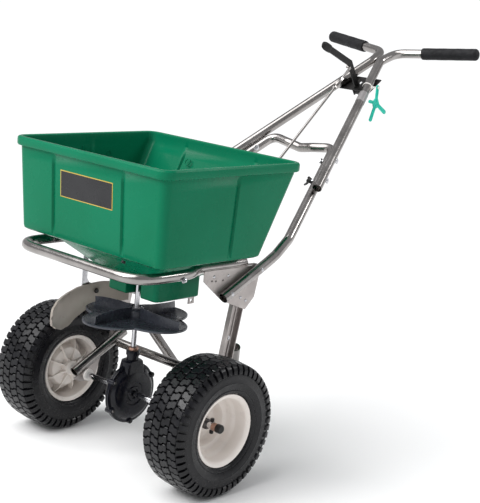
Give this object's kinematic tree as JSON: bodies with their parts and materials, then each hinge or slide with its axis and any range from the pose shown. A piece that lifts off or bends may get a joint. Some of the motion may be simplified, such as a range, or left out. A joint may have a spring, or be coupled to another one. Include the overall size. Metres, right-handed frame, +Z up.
{
  "type": "push broadcast spreader",
  "caption": "Push spreader: deep plastic hopper over a wheel-driven impeller, tube frame, two turf tyres, split handle with gate lever.",
  "frame": {"origin": "on the ground under the middle of the overall box", "axes": "+X along the axle, +Y from the hopper towards the handle grips, +Z up"},
  "size_m": [0.6762, 1.2218, 1.0682],
  "materials": {
    "hopper_plastic": "satin moulded plastic",
    "stainless": "polished stainless tube",
    "zinc_steel": "zinc plated",
    "black_plastic": "matt black",
    "tyre_rubber": "matt rubber",
    "rim_cream": "satin paint",
    "grip_foam": "closed foam",
    "white_nylon": "moulded nylon",
    "bronze": "sintered bronze",
    "deflector_plastic": "satin",
    "key_plastic": "moulded",
    "impeller_plastic": "moulded",
    "gear_nylon": "moulded nylon"
  },
  "bodies": {
    "frame": {"axle_bearing_left": "white_nylon", "axle_bearing_right": "white_nylon", "axle_strut_left": "stainless", "axle_strut_right": "stainless", "bearing_plate_left": "stainless", "bearing_plate_right": "stainless", "cross_tube": "stainless", "deflector_hanger": "zinc_steel", "front_tube": "stainless", "gearbox_left": "black_plastic", "gearbox_right": "black_plastic", "grip_left": "grip_foam", "grip_right": "grip_foam", "handle_bolt_left": "zinc_steel", "handle_bolt_right": "zinc_steel", "hopper": "hopper_plastic", "key_tie": "white_nylon", "leg_left": "stainless", "leg_right": "stainless", "lever_bracket": "black_plastic", "lever_pivot_bolt": "zinc_steel", "lower_handle": "stainless", "plate_bolt_front_left": "zinc_steel", "plate_bolt_front_right": "zinc_steel", "plate_bolt_rear_left": "zinc_steel", "plate_bolt_rear_right": "zinc_steel", "rear_stand": "stainless", "shaft_bushing": "bronze", "shutoff_guide": "zinc_steel", "side_plate_left": "stainless", "side_plate_right": "stainless", "stand_foot": "black_plastic", "upper_handle_left": "stainless", "upper_handle_right": "stainless"},
    "drive_axle": {"axle": "zinc_steel", "crown_gear": "gear_nylon", "tyre_right": "tyre_rubber", "rim_right": "rim_cream", "axle_pin_left": "zinc_steel", "axle_pin_right": "zinc_steel", "axle_collar_left": "bronze", "axle_collar_right": "bronze", "axle_cap_left": "black_plastic", "axle_cap_right": "black_plastic"},
    "free_wheel": {"tyre_left": "tyre_rubber", "rim_left": "rim_cream"},
    "impeller_shaft": {"vertical_shaft": "zinc_steel", "pinion_gear": "gear_nylon", "impeller": "impeller_plastic", "agitator": "zinc_steel"},
    "lever_arm": {"lever": "black_plastic", "lever_knob": "black_plastic"},
    "rod": {"control_rod": "zinc_steel"},
    "gate": {"shutoff_plate": "zinc_steel"},
    "side_deflector": {"deflector": "deflector_plastic", "deflector_bolt": "black_plastic"},
    "hanging_key": {"gauge_key": "key_plastic"},
    "wing_bolt_left": {"handle_wing_left": "black_plastic"},
    "wing_bolt_right": {"handle_wing_right": "black_plastic"}
  },
  "joints": [
    {"name": "axle_spin", "type": "hinge", "parent": "frame", "child": "drive_axle", "pos_m": [0, -0.38623, 0.165], "axis": [1, 0, 0], "continuous": true},
    {"name": "free_wheel_spin", "type": "hinge", "parent": "frame", "child": "free_wheel", "pos_m": [-0.2746, -0.38623, 0.165], "axis": [1, 0, 0], "continuous": true},
    {"name": "impeller_spin", "type": "hinge", "parent": "frame", "child": "impeller_shaft", "pos_m": [0, -0.38623, 0.357], "axis": [0, 0, 1], "continuous": true},
    {"name": "lever_swing", "type": "hinge", "parent": "frame", "child": "lever_arm", "pos_m": [0, 0.40877, 0.921], "axis": [-1, 0, 0], "range_deg": [0, 30]},
    {"name": "rod_pivot", "type": "hinge", "parent": "lever_arm", "child": "rod", "pos_m": [0, 0.35427, 0.9853], "axis": [-1, 0, 0], "range_deg": [-33, 0]},
    {"name": "gate_slide", "type": "slide", "parent": "frame", "child": "gate", "axis": [0, 1, 0], "range_m": [0, 0.0585]},
    {"name": "deflector_slide", "type": "slide", "parent": "frame", "child": "side_deflector", "axis": [0, 0, -1], "range_m": [0, 0.03]},
    {"name": "key_swing", "type": "hinge", "parent": "frame", "child": "hanging_key", "pos_m": [0.0835, 0.38477, 0.938], "axis": [1, 0, 0], "range_deg": [-25, 25]},
    {"name": "wing_bolt_left_turn", "type": "hinge", "parent": "frame", "child": "wing_bolt_left", "pos_m": [-0.1713, 0.07771, 0.70757], "axis": [-0.9535, 0.2457, 0.1747], "continuous": true},
    {"name": "wing_bolt_right_turn", "type": "hinge", "parent": "frame", "child": "wing_bolt_right", "pos_m": [0.1713, 0.07771, 0.70757], "axis": [0.9535, 0.2457, 0.1747], "continuous": true}
  ],
  "couplings": [
    {"joint": "impeller_spin", "follows": "axle_spin", "ratio": 4},
    {"joint": "rod_pivot", "follows": "lever_swing", "ratio": -1.0607},
    {"joint": "gate_slide", "follows": "lever_swing", "m_per_rad": 0.11}
  ]
}
